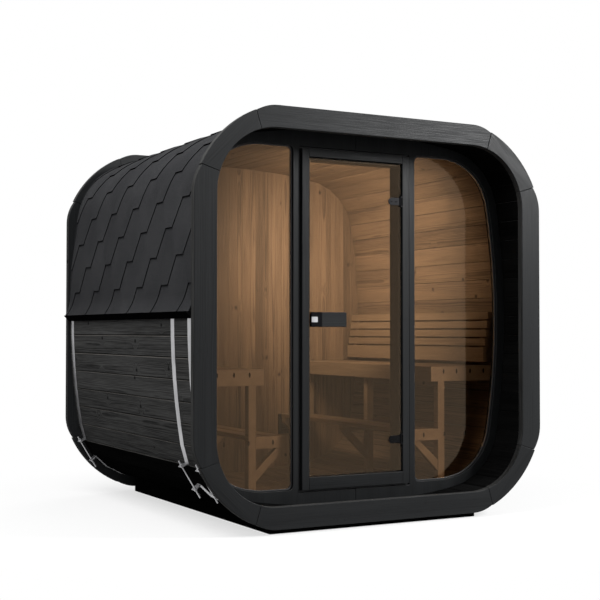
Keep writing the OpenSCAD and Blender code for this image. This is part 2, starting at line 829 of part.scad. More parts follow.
module under_shell() {
    line = rim_line(0, 2 * quarter, seat + band_thick + band_clear);
    difference() {
        children();
        polygon(concat(line, reversed(mirror_points(line))));
    }
}
module base_runners() {
    color("black") for (side = [-1, 1]) along(runner_y0, runner_y1) under_shell()
        translate([side > 0 ? runner_reach - runner_width : -runner_reach, 0])
            square([runner_width, shell_z]);
}
module base_cradles() {
    x = runner_reach - runner_width - 0.3;
    color("black")
        for (y = [runner_y0, (runner_y0 + runner_y1 - cradle_thick) / 2, runner_y1 - cradle_thick])
            along(y, y + cradle_thick) under_shell() translate([-x, 0]) square([2 * x, shell_z / 4]);
}

base_runners();
base_cradles();
floor_staves();
lower_corner_staves_left();
lower_corner_staves_right();
left_wall_staves();
right_wall_staves();
upper_corner_staves_left();
upper_corner_staves_right();
roof_staves();
front_ring_sides();
front_ring_corners();
front_ring_top();
front_ring_bottom();
back_ring_sides();
back_ring_corners();
back_ring_top();
back_ring_bottom();
roof_shingles();
drip_edges();
band_front();
band_middle();
band_back();
front_panel_left();
front_panel_right();
window_seals();
left_window();
right_window();
door_packing();
door_jamb_left();
door_jamb_right();
door_head();
door_sill();
door_hinge_brackets();
back_wall();
vent_cover();
bench_slats_left();
bench_slats_right();
bench_frame_left();
bench_frame_right();
backrest();
door_leaf();
door_hinge_clamps();
door_latch();
door_handle();
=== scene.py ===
# %% [markdown]
# # A cube sauna with rounded corners
# The real sauna is a shell of wooden staves that runs from front to back. Sectional rings of thick
# boards close its two ends, three steel bands clamp it, shingles cover its upper half, and a glazed
# wall with a glass door stands a little behind its front ring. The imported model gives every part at
# its place in metres, with the front towards -Y, and this lesson dresses it.

# %% Load the frame
import bpy
import json
import math
import random
import numpy as np
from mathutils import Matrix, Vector

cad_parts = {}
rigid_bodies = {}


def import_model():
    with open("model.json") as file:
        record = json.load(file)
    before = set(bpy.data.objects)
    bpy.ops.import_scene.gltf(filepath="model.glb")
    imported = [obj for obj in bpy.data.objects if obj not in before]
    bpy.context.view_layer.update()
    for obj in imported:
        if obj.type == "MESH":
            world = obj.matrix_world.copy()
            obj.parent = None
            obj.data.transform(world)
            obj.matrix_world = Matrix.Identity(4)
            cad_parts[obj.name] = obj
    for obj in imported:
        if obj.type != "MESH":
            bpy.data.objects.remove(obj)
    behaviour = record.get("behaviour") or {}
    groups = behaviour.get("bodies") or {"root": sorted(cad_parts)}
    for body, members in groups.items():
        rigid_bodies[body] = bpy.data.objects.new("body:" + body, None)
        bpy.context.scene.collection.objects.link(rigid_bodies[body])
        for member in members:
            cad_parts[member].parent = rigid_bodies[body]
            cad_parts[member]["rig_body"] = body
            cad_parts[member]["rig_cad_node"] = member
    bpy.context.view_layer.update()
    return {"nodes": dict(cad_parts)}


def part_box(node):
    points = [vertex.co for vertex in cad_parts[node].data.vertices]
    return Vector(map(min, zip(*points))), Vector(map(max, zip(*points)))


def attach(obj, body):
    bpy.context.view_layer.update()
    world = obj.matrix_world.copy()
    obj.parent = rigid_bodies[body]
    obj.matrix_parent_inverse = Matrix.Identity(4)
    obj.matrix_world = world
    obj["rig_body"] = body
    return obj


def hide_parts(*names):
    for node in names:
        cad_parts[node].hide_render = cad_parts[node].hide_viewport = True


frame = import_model()

# %% [markdown]
# ## Camera
# A long lens far away keeps the upright edges upright. It stands at the front left, one metre above
# the ground, and looks up by one and a half degrees.

# %% Place the camera
bpy.ops.object.select_all(action="DESELECT")
bpy.ops.object.camera_add(
    location=(-3.3457, -6.261, 0.998),
    rotation=(math.radians(91.495), math.radians(-0.02), math.radians(-28.56)),
)
camera = bpy.context.object
camera.name = "camera"
camera.data.lens = 72.54
camera.data.sensor_width = 36
bpy.context.scene.camera = camera
bpy.context.scene.view_settings.view_transform = "Standard"
print("camera at", tuple(camera.location))

# %% [markdown]
# ## Small helpers
# An operator acts on all that is selected, so `only` clears the selection first. `add` puts a node in
# a node tree and fills or links its inputs, which keeps the finishes below short.

# %% Helpers for selecting and for nodes
def only(*objects):
    """Select these objects and nothing else; the first becomes the active one."""
    if bpy.context.mode != "OBJECT":
        bpy.ops.object.mode_set(mode="OBJECT")
    bpy.ops.object.select_all(action="DESELECT")
    for item in objects:
        item.select_set(True)
    bpy.context.view_layer.objects.active = objects[0]


def add(tree, kind, values=None, **settings):
    """Add a node. A value that is a socket is linked, and any other is written on the input."""
    made = tree.nodes.new(kind)
    for name, value in settings.items():
        setattr(made, name, value)
    for name, value in (values or {}).items():
        if isinstance(value, bpy.types.NodeSocket):
            tree.links.new(value, made.inputs[name])
        else:
            made.inputs[name].default_value = value
    return made


def math_node(tree, operation, a, b=0.0, c=0.0, clamp=False):
    """One step of arithmetic in a node tree."""
    made = add(tree, "ShaderNodeMath", {0: a, 1: b, 2: c}, operation=operation, use_clamp=clamp)
    return made.outputs[0]


def ramp(tree, value, low, high, to_low=0.0, to_high=1.0):
    """Map a value from low..high to to_low..to_high, smoothly and within those ends."""
    made = add(tree, "ShaderNodeMapRange",
               {"Value": value, "From Min": low, "From Max": high,
                "To Min": to_low, "To Max": to_high}, interpolation_type="SMOOTHSTEP")
    return made.outputs["Result"]


def mix_colours(tree, factor, a, b, blend="MIX"):
    """Mix two colours by a factor."""
    made = add(tree, "ShaderNodeMix", data_type="RGBA", blend_type=blend)
    for place, value in ((0, factor), (6, a), (7, b)):
        if isinstance(value, bpy.types.NodeSocket):
            tree.links.new(value, made.inputs[place])
        else:
            made.inputs[place].default_value = value
    return made.outputs[2]


def new_group(name, inputs, outputs):
    """An empty node group with these sockets, and its two end nodes."""
    group = bpy.data.node_groups.new(name, "ShaderNodeTree")
    for label, kind, value in inputs:
        made = group.interface.new_socket(label, in_out="INPUT", socket_type="NodeSocket" + kind)
        if value is not None:
            made.default_value = value
    for label, kind in outputs:
        group.interface.new_socket(label, in_out="OUTPUT", socket_type="NodeSocket" + kind)
    return group, group.nodes.new("NodeGroupInput"), group.nodes.new("NodeGroupOutput")


def new_material(name, colour, rough, **sockets):
    """A material with one Principled shader, its constants on the shader's own sockets."""
    material = bpy.data.materials.new(name)
    material.use_nodes = True
    tree = material.node_tree
    shader = tree.nodes["Principled BSDF"]
    shader.inputs["Base Color"].default_value = (*colour, 1)
    shader.inputs["Roughness"].default_value = rough
    for label, value in sockets.items():
        shader.inputs[label.replace("_", " ")].default_value = value
    material.diffuse_color = (*colour, 1)
    return material, tree, shader


# %% [markdown]
# ## How wood looks
# A board is cut from a trunk, so its pattern is solid: rings round a pith, stretched along the grain,
# swerving round knots. Each board gets its own coordinates along its own grain, kept in an attribute
# called grain, and a tone of its own. One node group turns them into rings, fibres and knots. A flat
# picture of grain would break at every edge, and this one runs round edges as in real timber.

# %% The shared wood pattern
wood, wood_in, wood_out = new_group(
    "wood_pattern",
    [("Grain", "Vector", None), ("Ring Width", "Float", 0.005), ("Wander", "Float", 0.016)],
    [("Rings", "Float"), ("Fibre", "Float"), ("Knots", "Float"), ("Cloud", "Float")])
grain_in = wood_in.outputs["Grain"]


def stretched(tree, vector, scale):
    """The vector with each axis multiplied."""
    made = add(tree, "ShaderNodeVectorMath", {0: vector, 1: scale}, operation="MULTIPLY")
    return made.outputs[0]


# knots: one place in each cell of a stretched pattern, and only some cells have one
cell = (1.9, 8.0, 0.0)
spots = add(wood, "ShaderNodeTexVoronoi",
            {"Vector": stretched(wood, grain_in, cell), "Scale": 1.0, "Randomness": 0.9},
            voronoi_dimensions="2D", feature="F1")
away = add(wood, "ShaderNodeVectorMath",
           {0: stretched(wood, grain_in, cell), 1: spots.outputs["Position"]}, operation="SUBTRACT")
away_m = stretched(wood, away.outputs[0], (0.8 / cell[0], 1.0 / cell[1], 0.0))
knot_far = add(wood, "ShaderNodeVectorMath", {0: away_m}, operation="LENGTH").outputs["Value"]
chosen = ramp(wood, add(wood, "ShaderNodeSeparateColor", {0: spots.outputs["Color"]}).outputs[0],
              0.45, 0.75)
knot_size = math_node(wood, "MULTIPLY_ADD", chosen, 0.010, 0.0)
knot = math_node(wood, "MULTIPLY", ramp(wood, math_node(wood, "SUBTRACT", knot_far, knot_size),
                                        0.005, -0.005), ramp(wood, chosen, 0.05, 0.2))
swerve = math_node(wood, "MULTIPLY", ramp(wood, knot_far, 0.05, 0.0), 0.02)
# rings: distance from the pith, made to wander and to swerve round the knots
drift = add(wood, "ShaderNodeTexNoise",
            {"Vector": stretched(wood, grain_in, (1.1, 7.0, 7.0)), "Scale": 1.0, "Detail": 3.0})
round_pith = add(wood, "ShaderNodeVectorMath", {0: stretched(wood, grain_in, (0.0, 1.0, 1.0))},
                 operation="LENGTH").outputs["Value"]
wander = math_node(wood, "MULTIPLY", math_node(wood, "SUBTRACT", drift.outputs[0], 0.5),
                   wood_in.outputs["Wander"])
radius = math_node(wood, "ADD", math_node(wood, "ADD", round_pith, wander),
                   math_node(wood, "MULTIPLY", swerve, chosen))
phase = math_node(wood, "FRACT", math_node(wood, "DIVIDE", radius, wood_in.outputs["Ring Width"]))
rings = math_node(wood, "MULTIPLY", ramp(wood, phase, 0.25, 0.86), ramp(wood, phase, 1.0, 0.9))
# fibres and slow clouds of tone
fibre = add(wood, "ShaderNodeTexNoise",
            {"Vector": stretched(wood, grain_in, (5.0, 210.0, 210.0)), "Scale": 1.0,
             "Detail": 4.0, "Roughness": 0.62})
cloud = add(wood, "ShaderNodeTexNoise",
            {"Vector": stretched(wood, grain_in, (1.3, 16.0, 16.0)), "Scale": 1.0, "Detail": 3.0})
for label, socket in (("Rings", rings), ("Fibre", ramp(wood, fibre.outputs[0], 0.3, 0.7)),
                      ("Knots", knot), ("Cloud", ramp(wood, cloud.outputs[0], 0.3, 0.7))):
    wood.links.new(socket, wood_out.inputs[label])
print("wood pattern has", len(wood.nodes), "nodes")

# %% [markdown]
# ## The timber finishes
# Outside, the spruce is stained charcoal: the stain hides the colour and leaves fibres and rings to
# be felt more than seen. The clear boards of the rings and the door frame have hardly a knot, and
# the rougher staves show theirs as dark spots. The upper bevel of a stave is painted paler, as a
# painted highlight. The short porch and the underside are painted near-black, as painted shade.
# Inside, the same boards are heat-treated and bare, a warm brown, and the benches are paler. The
# runners are black.

# %% Timber materials
def timber(name, dark, light, rough, rings, fibres, bump, knot_tone, knots=1.0, specular=0.5):
    """A wood finish between two colours, with relief from its fibres."""
    material, tree, shader = new_material(name, light, rough, Specular_IOR_Level=specular)
    grain = add(tree, "ShaderNodeAttribute", attribute_name="grain")
    tone = add(tree, "ShaderNodeAttribute", attribute_name="tone")
    pattern = add(tree, "ShaderNodeGroup", {"Ring Width": 0.005, "Wander": 0.016}, node_tree=wood)
    tree.links.new(grain.outputs["Vector"], pattern.inputs["Grain"])
    out = pattern.outputs
    shade = math_node(tree, "MULTIPLY_ADD", out["Rings"], -rings, 0.55)
    shade = math_node(tree, "MULTIPLY_ADD", out["Fibre"], fibres, shade)
    shade = math_node(tree, "MULTIPLY_ADD", out["Cloud"], 0.3, shade)
    shade = math_node(tree, "MULTIPLY_ADD", tone.outputs["Fac"], 0.3, shade)
    shade = math_node(tree, "SUBTRACT", shade, 0.3, clamp=True)
    colour = mix_colours(tree, shade, (*dark, 1), (*light, 1))
    knot_share = math_node(tree, "MULTIPLY", out["Knots"], knots)
    colour = mix_colours(tree, knot_share, colour, (*knot_tone, 1))
    tree.links.new(colour, shader.inputs["Base Color"])
    tree.links.new(ramp(tree, out["Fibre"], 0.0, 1.0, rough + 0.1, rough - 0.06),
                   shader.inputs["Roughness"])
    height = math_node(tree, "MULTIPLY_ADD", out["Rings"], 0.5, out["Fibre"])
    relief = add(tree, "ShaderNodeBump", {"Height": height, "Strength": 0.5, "Distance": bump})
    tree.links.new(relief.outputs[0], shader.inputs["Normal"])
    return material


charcoal = timber("charcoal_stain", (0.004, 0.0045, 0.005), (0.016, 0.017, 0.018), 0.46, 0.3, 0.25,
                  0.0004, (0.003, 0.003, 0.003), 0.25, specular=0.13)
charcoal_rough = timber("charcoal_rough_stain", (0.007, 0.007, 0.007), (0.062, 0.062, 0.061), 0.7,
                        0.45, 0.4, 0.0006, (0.003, 0.003, 0.003), 0.95, specular=0.02)
# A paler colour on the upper bevels of the staves: a painted highlight where they face the light.
painted_highlight_edge = timber("stave_edge_painted_highlight", (0.045, 0.042, 0.038), (0.09, 0.084, 0.076), 0.6, 0.4, 0.35,
                     0.0004, (0.01, 0.009, 0.008), 0.8, specular=0.1)
# Near-black on the porch's inner faces, the lower bevels and the boards that face the ground: painted
# shade.
painted_shade_black = timber("porch_painted_shade_black", (0.002, 0.002, 0.002), (0.009, 0.009, 0.009), 0.7,
                     0.3, 0.3, 0.0004, (0.001, 0.001, 0.001), 0.5, specular=0.0)
bare_wood = timber("bare_heated_spruce", (0.060, 0.038, 0.023), (0.27, 0.17, 0.098), 0.5, 0.45,
                   0.25, 0.0004, (0.025, 0.014, 0.008), 0.9)
bench_wood = timber("bench_slat_wood", (0.15, 0.092, 0.05), (0.31, 0.205, 0.12), 0.48, 0.35, 0.2,
                    0.0003, (0.12, 0.055, 0.022), 0.5)
base_black = timber("black_base_timber", (0.004, 0.004, 0.004), (0.012, 0.012, 0.012), 0.65, 0.3,
                    0.3, 0.0005, (0.003, 0.003, 0.003), 0.5, specular=0.0)
print("timber finishes ready")

# %% [markdown]
# ## Metals, rubber, shingles and glass
# The bands are brushed steel, brushed along their length. Hinges and drip edges are black. Shingles
# are bitumen with a slate grit pressed in. The panes are tinted bronze and pass light to the room.

# %% Other materials
def speckle(tree, scale, detail=2.0):
    """Fine noise at a real size, read in metres from the object's coordinates."""
    place = add(tree, "ShaderNodeTexCoord").outputs["Object"]
    return add(tree, "ShaderNodeTexNoise",
               {"Vector": place, "Scale": scale, "Detail": detail}).outputs[0]


def bumped(tree, shader, height, distance, strength=0.4):
    """Give a shader a relief of this depth in metres."""
    relief = add(tree, "ShaderNodeBump",
                 {"Height": height, "Strength": strength, "Distance": distance})
    tree.links.new(relief.outputs[0], shader.inputs["Normal"])


steel, tree, shader = new_material("brushed_steel", (0.36, 0.36, 0.37), 0.38, Metallic=1.0)
place = add(tree, "ShaderNodeTexCoord").outputs["Object"]
brush = add(tree, "ShaderNodeTexNoise",
            {"Vector": stretched(tree, place, (60.0, 900.0, 60.0)), "Scale": 1.0, "Detail": 3.0})
dulled = speckle(tree, 9.0, 4.0)
tree.links.new(ramp(tree, brush.outputs[0], 0.3, 0.7, 0.32, 0.48), shader.inputs["Roughness"])
tree.links.new(mix_colours(tree, ramp(tree, dulled, 0.35, 0.7), (0.42, 0.42, 0.43, 1),
                           (0.30, 0.30, 0.31, 1)), shader.inputs["Base Color"])
bumped(tree, shader, brush.outputs[0], 0.0002, 0.2)

black_metal, tree, shader = new_material("black_coated_metal", (0.006, 0.006, 0.0065), 0.5,
                                         Metallic=1.0, Specular_Tint=(0.03, 0.03, 0.03, 1))
grit = speckle(tree, 700.0)
tree.links.new(ramp(tree, grit, 0.3, 0.7, 0.42, 0.58), shader.inputs["Roughness"])
bumped(tree, shader, grit, 0.0001, 0.3)

hinge_metal, tree, shader = new_material("dark_hinge_metal", (0.009, 0.009, 0.0095), 0.36,
                                         Metallic=1.0)
grit = speckle(tree, 500.0)
tree.links.new(ramp(tree, grit, 0.3, 0.7, 0.3, 0.44), shader.inputs["Roughness"])
bumped(tree, shader, grit, 0.0001, 0.2)

rubber, tree, shader = new_material("black_seal_rubber", (0.008, 0.008, 0.009), 0.6)
grit = speckle(tree, 400.0)
tree.links.new(ramp(tree, grit, 0.3, 0.7, 0.52, 0.68), shader.inputs["Roughness"])
bumped(tree, shader, grit, 0.0002, 0.2)

bitumen, tree, shader = new_material("slate_grit_bitumen", (0.03, 0.03, 0.031), 0.85,
                                     Specular_IOR_Level=0.01)
grains = speckle(tree, 520.0, 1.0)
flecks = ramp(tree, speckle(tree, 900.0, 0.0), 0.62, 0.72)
patches = speckle(tree, 4.0, 3.0)
shade = mix_colours(tree, ramp(tree, patches, 0.35, 0.65), (0.017, 0.0175, 0.019, 1),
                    (0.026, 0.0265, 0.028, 1))
shade = mix_colours(tree, ramp(tree, grains, 0.35, 0.65, 0.0, 0.5), shade,
                    (0.040, 0.0405, 0.043, 1))
shade = mix_colours(tree, flecks, shade, (0.075, 0.075, 0.078, 1))
tone = add(tree, "ShaderNodeAttribute", attribute_name="tone")
shade = mix_colours(tree, ramp(tree, tone.outputs["Fac"], 0.0, 1.0, 0.0, 0.18), shade,
                    (0.010, 0.010, 0.011, 1))
tree.links.new(shade, shader.inputs["Base Color"])
tree.links.new(ramp(tree, grains, 0.3, 0.7, 0.95, 0.7), shader.inputs["Roughness"])
bumped(tree, shader, grains, 0.0008, 0.6)

# The tabs' cut edges are black bitumen, made darker still as painted shade under each tab's step.
black_edge_and_painted_shade, tree, shader = new_material("bitumen_black_edge_and_painted_shade", (0.0015, 0.0015, 0.0015), 0.7,
                                      Specular_IOR_Level=0.0)
fray = speckle(tree, 600.0)
tree.links.new(ramp(tree, fray, 0.3, 0.7, 0.6, 0.85), shader.inputs["Roughness"])
bumped(tree, shader, fray, 0.0003, 0.4)
print("metal, rubber and bitumen ready")


# %% The bronze glass
def tinted_glass(name, tint, through):
    """Clear tinted glass. Lamps and the room's own light pass straight through it."""
    material, tree, shader = new_material(name, tint, 0.0, Transmission_Weight=1.0, IOR=1.38)
    shader.inputs["Specular Tint"].default_value = (1.0, 0.74, 0.50, 1)
    paths = add(tree, "ShaderNodeLightPath")
    either = math_node(tree, "MAXIMUM", paths.outputs["Is Shadow Ray"],
                       paths.outputs["Is Diffuse Ray"])
    clear = add(tree, "ShaderNodeBsdfTransparent", {"Color": (*through, 1)})
    both = add(tree, "ShaderNodeMixShader", {0: either, 1: shader.outputs[0], 2: clear.outputs[0]})
    tree.links.new(both.outputs[0], tree.nodes["Material Output"].inputs["Surface"])
    return material


bronze_glass = tinted_glass("bronze_glass", (0.56, 0.485, 0.40), (0.76, 0.70, 0.635))
print("glass ready")

# %% [markdown]
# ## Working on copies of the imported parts
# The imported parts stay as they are, because the other tools measure them. Where a part needs soft
# edges or its own grain, a merged copy of it is worked on and stands for it. Every corner that a hand
# touches is planed off by a few millimetres on the real thing, and this is what catches the light.

# %% Copy, soften and finish
def copy_of(piece, *names):
    """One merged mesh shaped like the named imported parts."""
    only(*[frame["nodes"][name] for name in names])
    bpy.ops.object.duplicate()
    twins = list(bpy.context.selected_objects)
    for twin in twins:
        twin.parent = None
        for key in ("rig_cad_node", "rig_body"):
            del twin[key]
        twin.data.materials.clear()
    only(*twins)
    if len(twins) > 1:
        bpy.ops.object.join()
    made = bpy.context.object
    made.name = piece
    made.data.name = piece
    bpy.ops.object.mode_set(mode="EDIT")
    bpy.ops.mesh.select_all(action="SELECT")
    bpy.ops.mesh.customdata_custom_splitnormals_clear()
    bpy.ops.mesh.remove_doubles(threshold=0.00002)
    bpy.ops.mesh.dissolve_limited(angle_limit=math.radians(0.6))
    bpy.ops.object.mode_set(mode="OBJECT")
    return made


def soften(piece, width, segments=2, angle=32):
    """Round the sharp edges and shade the curves smooth, leaving flat faces flat."""
    only(piece)
    bpy.ops.object.shade_smooth()
    edge = piece.modifiers.new("soft edges", "BEVEL")
    edge.width = width
    edge.segments = segments
    edge.limit_method = "ANGLE"
    edge.angle_limit = math.radians(angle)
    edge.use_clamp_overlap = True
    edge.harden_normals = True
    bpy.ops.object.modifier_apply(modifier=edge.name)


def boards_of(mesh):
    """The separate boards of a mesh, each an array of its vertices' numbers."""
    label = np.arange(len(mesh.vertices))
    ends = np.empty(2 * len(mesh.edges), dtype=np.int64)
    mesh.edges.foreach_get("vertices", ends)
    ends = ends.reshape(-1, 2)
    while True:
        low = np.minimum(label[ends[:, 0]], label[ends[:, 1]])
        before = label.copy()
        np.minimum.at(label, ends[:, 0], low)
        np.minimum.at(label, ends[:, 1], low)
        label = label[label]
        if (label == before).all():
            break
    return [np.flatnonzero(label == first) for first in np.unique(label)]


def lay_grain(piece, seed, along=None):
    """Write each board's own grain coordinates and tone, from its longest direction or along."""
    draw = random.Random(seed)
    mesh = piece.data
    places = np.empty(3 * len(mesh.vertices))
    mesh.vertices.foreach_get("co", places)
    places = places.reshape(-1, 3)
    grain = np.zeros_like(places)
    tone = np.zeros(len(places))
    for board in boards_of(mesh):
        own = places[board]
        own = own - (own.min(axis=0) + own.max(axis=0)) / 2
        axes = np.linalg.eigh(own.T @ own)[1][:, ::-1]
        if along is not None:
            first = np.array(along, float)
            second = axes[:, 1] - first * (axes[:, 1] @ first)
            if np.linalg.norm(second) < 0.3:
                second = axes[:, 0] - first * (axes[:, 0] @ first)
            second = second / np.linalg.norm(second)
            axes = np.stack([first, second, np.cross(first, second)], axis=1)
        axes = axes * np.where(axes.sum(axis=0) < 0, -1.0, 1.0)
        shift = (draw.uniform(0, 60), draw.uniform(-0.05, 0.05), draw.uniform(0.03, 0.10))
        grain[board] = own @ axes + shift
        tone[board] = draw.random()
    mesh.attributes.new("grain", "FLOAT_VECTOR", "POINT").data.foreach_set("vector", grain.ravel())
    mesh.attributes.new("tone", "FLOAT", "POINT").data.foreach_set("value", tone)


def finish(piece, body, slot, replaced, *materials):
    """Give a piece its finishes, its body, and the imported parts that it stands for."""
    if materials:
        piece.data.materials.clear()
    for material in materials:
        piece.data.materials.append(material)
    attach(piece, body)
    if replaced:
        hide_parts(*replaced)


# %% [markdown]
# ## The end rings
# Each ring is eight thick boards: two sides, a top, a bottom and four corners, cut from straight
# planks, so that the grain of a corner runs across its diagonal. Their rounded arrises meet at each
# joint in a fine groove. Their faces are planed, and their edges keep the rougher finish.

# %% Ring boards
ring_arris = 0.0035
edge_turn = 0.3
for end in ("front", "back"):
    for part in ("sides", "corners", "top", "bottom"):
        name = f"{end}_ring_{part}"
        boards = copy_of(name + "_boards", name)
        soften(boards, ring_arris, 3)
        lay_grain(boards, name)
        finish(boards, "sauna", "dark_wood", [name], charcoal, charcoal_rough)
        for face in boards.data.polygons:
            face.material_index = 1 if abs(face.normal.y) < edge_turn else 0
print("ring boards ready")

# %% [markdown]
# ## The staves
# The staves already have their bevels, so they only lose the last sharpness. The stain covers the
# outside and the ends, the porch is painted near-black as painted shade, and the room side is bare,
# so each stave is cut at the middle of the front wall and of the back wall, and the inward faces
# between them take the bare finish. Outside, the upper bevel of a joint is painted pale as a painted
# highlight and the lower one near-black as painted shade, and boards that look well down at the
# ground are painted black as shade.

# %% Stave boards
wall_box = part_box("front_panel_right")
back_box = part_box("back_wall")
wall_middle = (wall_box[0].y + wall_box[1].y) / 2
back_middle = (back_box[0].y + back_box[1].y) / 2
shell_middle = (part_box("floor_staves")[0].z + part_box("roof_staves")[1].z) / 2


def cut_across(piece, y):
    """Cut every face of a piece where it crosses a plane across the depth."""
    only(piece)
    bpy.ops.object.mode_set(mode="EDIT")
    bpy.ops.mesh.select_all(action="SELECT")
    bpy.ops.mesh.bisect(plane_co=(0, y, 0), plane_no=(0, 1, 0))
    bpy.ops.object.mode_set(mode="OBJECT")


def finish_inside(piece):
    """The second finish on faces that look into the room, the third, a painted shade, on those of the
    porch.
    """
    for face in piece.data.polygons:
        inward = Vector((face.center.x, 0, face.center.z - shell_middle)).normalized()
        if face.normal.dot(inward) < -0.4 and face.center.y < back_middle:
            face.material_index = 1 if face.center.y > wall_middle else 2


straight_half = 0.63
outward_least = 0.15
bevel_tilt = 0.3
looks_down = -0.35


def finish_grooves(piece):
    """A pale painted highlight on upper bevels outside, a black painted shade on lower bevels and
    underneath.
    """
    for face in piece.data.polygons:
        x, z = face.center.x, face.center.z - shell_middle
        core_x = min(max(x, -straight_half), straight_half)
        core_z = min(max(z, -straight_half), straight_half)
        out = Vector((x - core_x, 0, z - core_z)).normalized()
        up = Vector((-out.z, 0, out.x)) if out.x > 0 else Vector((out.z, 0, -out.x))
        tilt = face.normal.dot(up)
        if face.normal.dot(out) < outward_least or abs(face.normal.y) > edge_turn:
            continue
        # lower bevels and boards facing the ground: near-black painted shade
        if out.z < looks_down or tilt < -bevel_tilt:
            face.material_index = 2
        # upper bevels: a pale painted highlight
        elif tilt > bevel_tilt:
            face.material_index = 3


stave_parts = ["floor_staves", "lower_corner_staves_left", "lower_corner_staves_right",
               "left_wall_staves", "right_wall_staves", "upper_corner_staves_left",
               "upper_corner_staves_right", "roof_staves"]
for name in stave_parts:
    staves = copy_of(name.replace("_staves", "_stave_boards"), name)
    soften(staves, 0.0012, 1, 20)
    cut_across(staves, wall_middle)
    cut_across(staves, back_middle)
    lay_grain(staves, name, (0, 1, 0))
    finish(staves, "sauna", "dark_wood", [name], charcoal_rough, bare_wood, painted_shade_black,
           painted_highlight_edge)
    finish_inside(staves)
    finish_grooves(staves)
print("staves ready")

# %% [markdown]
# ## Front wall, door frame and base
# These are planed timbers with soft arrises.

# %% Planed timbers
planed = [
    ("front_panel_left", "front_wall_left", 0.003, (0, 0, 1)),
    ("front_panel_right", "front_wall_right", 0.003, (0, 0, 1)),
    ("door_jamb_left", "door_upright_left", 0.002, (0, 0, 1)),
    ("door_jamb_right", "door_upright_right", 0.002, (0, 0, 1)),
    ("door_head", "door_head_rail", 0.002, (1, 0, 0)),
    ("door_sill", "door_sill_rail", 0.003, (1, 0, 0)),
]
for name, piece, width, along in planed:
    timbers = copy_of(piece, name)
    soften(timbers, width, 2)
    cut_across(timbers, wall_middle)
    lay_grain(timbers, name, along)
    finish(timbers, "sauna", "dark_wood", [name], charcoal, bare_wood)
    for face in timbers.data.polygons:
        if face.center.y > wall_middle and face.normal.y > 0.5:
            face.material_index = 1
for name, along in (("base_runners", (0, 1, 0)), ("base_cradles", (1, 0, 0))):
    timbers = copy_of(name + "_timbers", name)
    soften(timbers, 0.003, 2)
    lay_grain(timbers, name, along)
    finish(timbers, "sauna", "black_base", [name], base_black)
print("wall, frame and base ready")

# %% [markdown]
# ## Benches and backrests
# Slats of pale wood with well rounded edges, because people sit on them.

# %% Bench timbers
for name, seed_axis in (("bench_slats_left", (0, 1, 0)), ("bench_slats_right", (0, 1, 0)),
                        ("bench_frame_left", None), ("bench_frame_right", None),
                        ("backrest", None)):
    timbers = copy_of(name + "_timbers", name)
    soften(timbers, 0.004, 2)
    lay_grain(timbers, name, seed_axis)
    finish(timbers, "sauna", "natural_wood", [name], bench_wood)
print("benches ready")

# %% [markdown]
# ## The back wall
# It is boarded upright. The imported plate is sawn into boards: for each board a copy of the plate is
# cut by two upright planes, and the soft edges then leave a V between neighbours.

# %% Saw the plate into boards
board_width = 0.096
plate = copy_of("back_plate", "back_wall")
half_wide = back_box[1].x
cuts = [-half_wide + board_width / 2 + board_width * step for step in range(-1, 24)]
sawn = []
for left in cuts:
    if left > half_wide or left + board_width < -half_wide:
        continue
    only(plate)
    bpy.ops.object.duplicate()
    board = bpy.context.object
    bpy.ops.object.mode_set(mode="EDIT")
    for place, direction in ((left + 0.0003, -1), (left + board_width - 0.0003, 1)):
        bpy.ops.mesh.select_all(action="SELECT")
        bpy.ops.mesh.bisect(plane_co=(place, 0, 0), plane_no=(direction, 0, 0), use_fill=True,
                            clear_outer=True)
    bpy.ops.object.mode_set(mode="OBJECT")
    if len(board.data.polygons) < 6:
        bpy.data.objects.remove(board)
        continue
    sawn.append(board)
bpy.data.objects.remove(plate)
only(*sawn)
bpy.ops.object.join()
back_boards = bpy.context.object
back_boards.name = "back_wall_boards"
soften(back_boards, 0.0035, 1)
lay_grain(back_boards, "back wall", (0, 0, 1))
finish(back_boards, "sauna", "natural_wood", ["back_wall"], charcoal, bare_wood)
for face in back_boards.data.polygons:
    if face.center.y < back_middle:
        face.material_index = 1
print("back wall boards:", len(sawn))

# %% [markdown]
# ## Trim and metal as packed, with soft edges
# Bands, drip edges, seals, packing, hinges, the handle board and the panes.

# %% Soft edges on trim and metal
trim = [
    ("band_front", "steel_band_front", 0.0005, steel, "stainless", "sauna"),
    ("band_middle", "steel_band_middle", 0.0005, steel, "stainless", "sauna"),
    ("band_back", "steel_band_back", 0.0005, steel, "stainless", "sauna"),
    ("drip_edges", "drip_edge_profiles", 0.0008, black_metal, "black_metal", "sauna"),
    ("window_seals", "window_gaskets", 0.002, rubber, "black_rubber", "sauna"),
    ("door_packing", "door_packing_strips", 0.001, rubber, "black_rubber", "sauna"),
    ("door_hinge_brackets", "hinge_brackets", 0.0006, hinge_metal, "hinge_metal", "sauna"),
    ("door_hinge_clamps", "hinge_clamps", 0.001, hinge_metal, "hinge_metal", "door"),
    ("door_handle", "door_pull", 0.004, charcoal, "dark_wood", "door"),
    ("left_window", "left_pane", 0.0008, bronze_glass, "bronze_glass", "sauna"),
    ("right_window", "right_pane", 0.0008, bronze_glass, "bronze_glass", "sauna"),
    ("door_leaf", "door_pane", 0.001, bronze_glass, "bronze_glass", "door"),
]
for name, piece, width, material, slot, body in trim:
    made = copy_of(piece, name)
    soften(made, width, 2)
    if material is charcoal:
        lay_grain(made, name)
    finish(made, body, slot, [name], material)
print("trim ready")

# %% [markdown]
# ## Small fittings
# Small turned and sawn parts share three helpers. `block` is a squared bar between two corners,
# `turned` is a round or six-sided bar between two points, and `cap_screw` sinks a socket in its head.

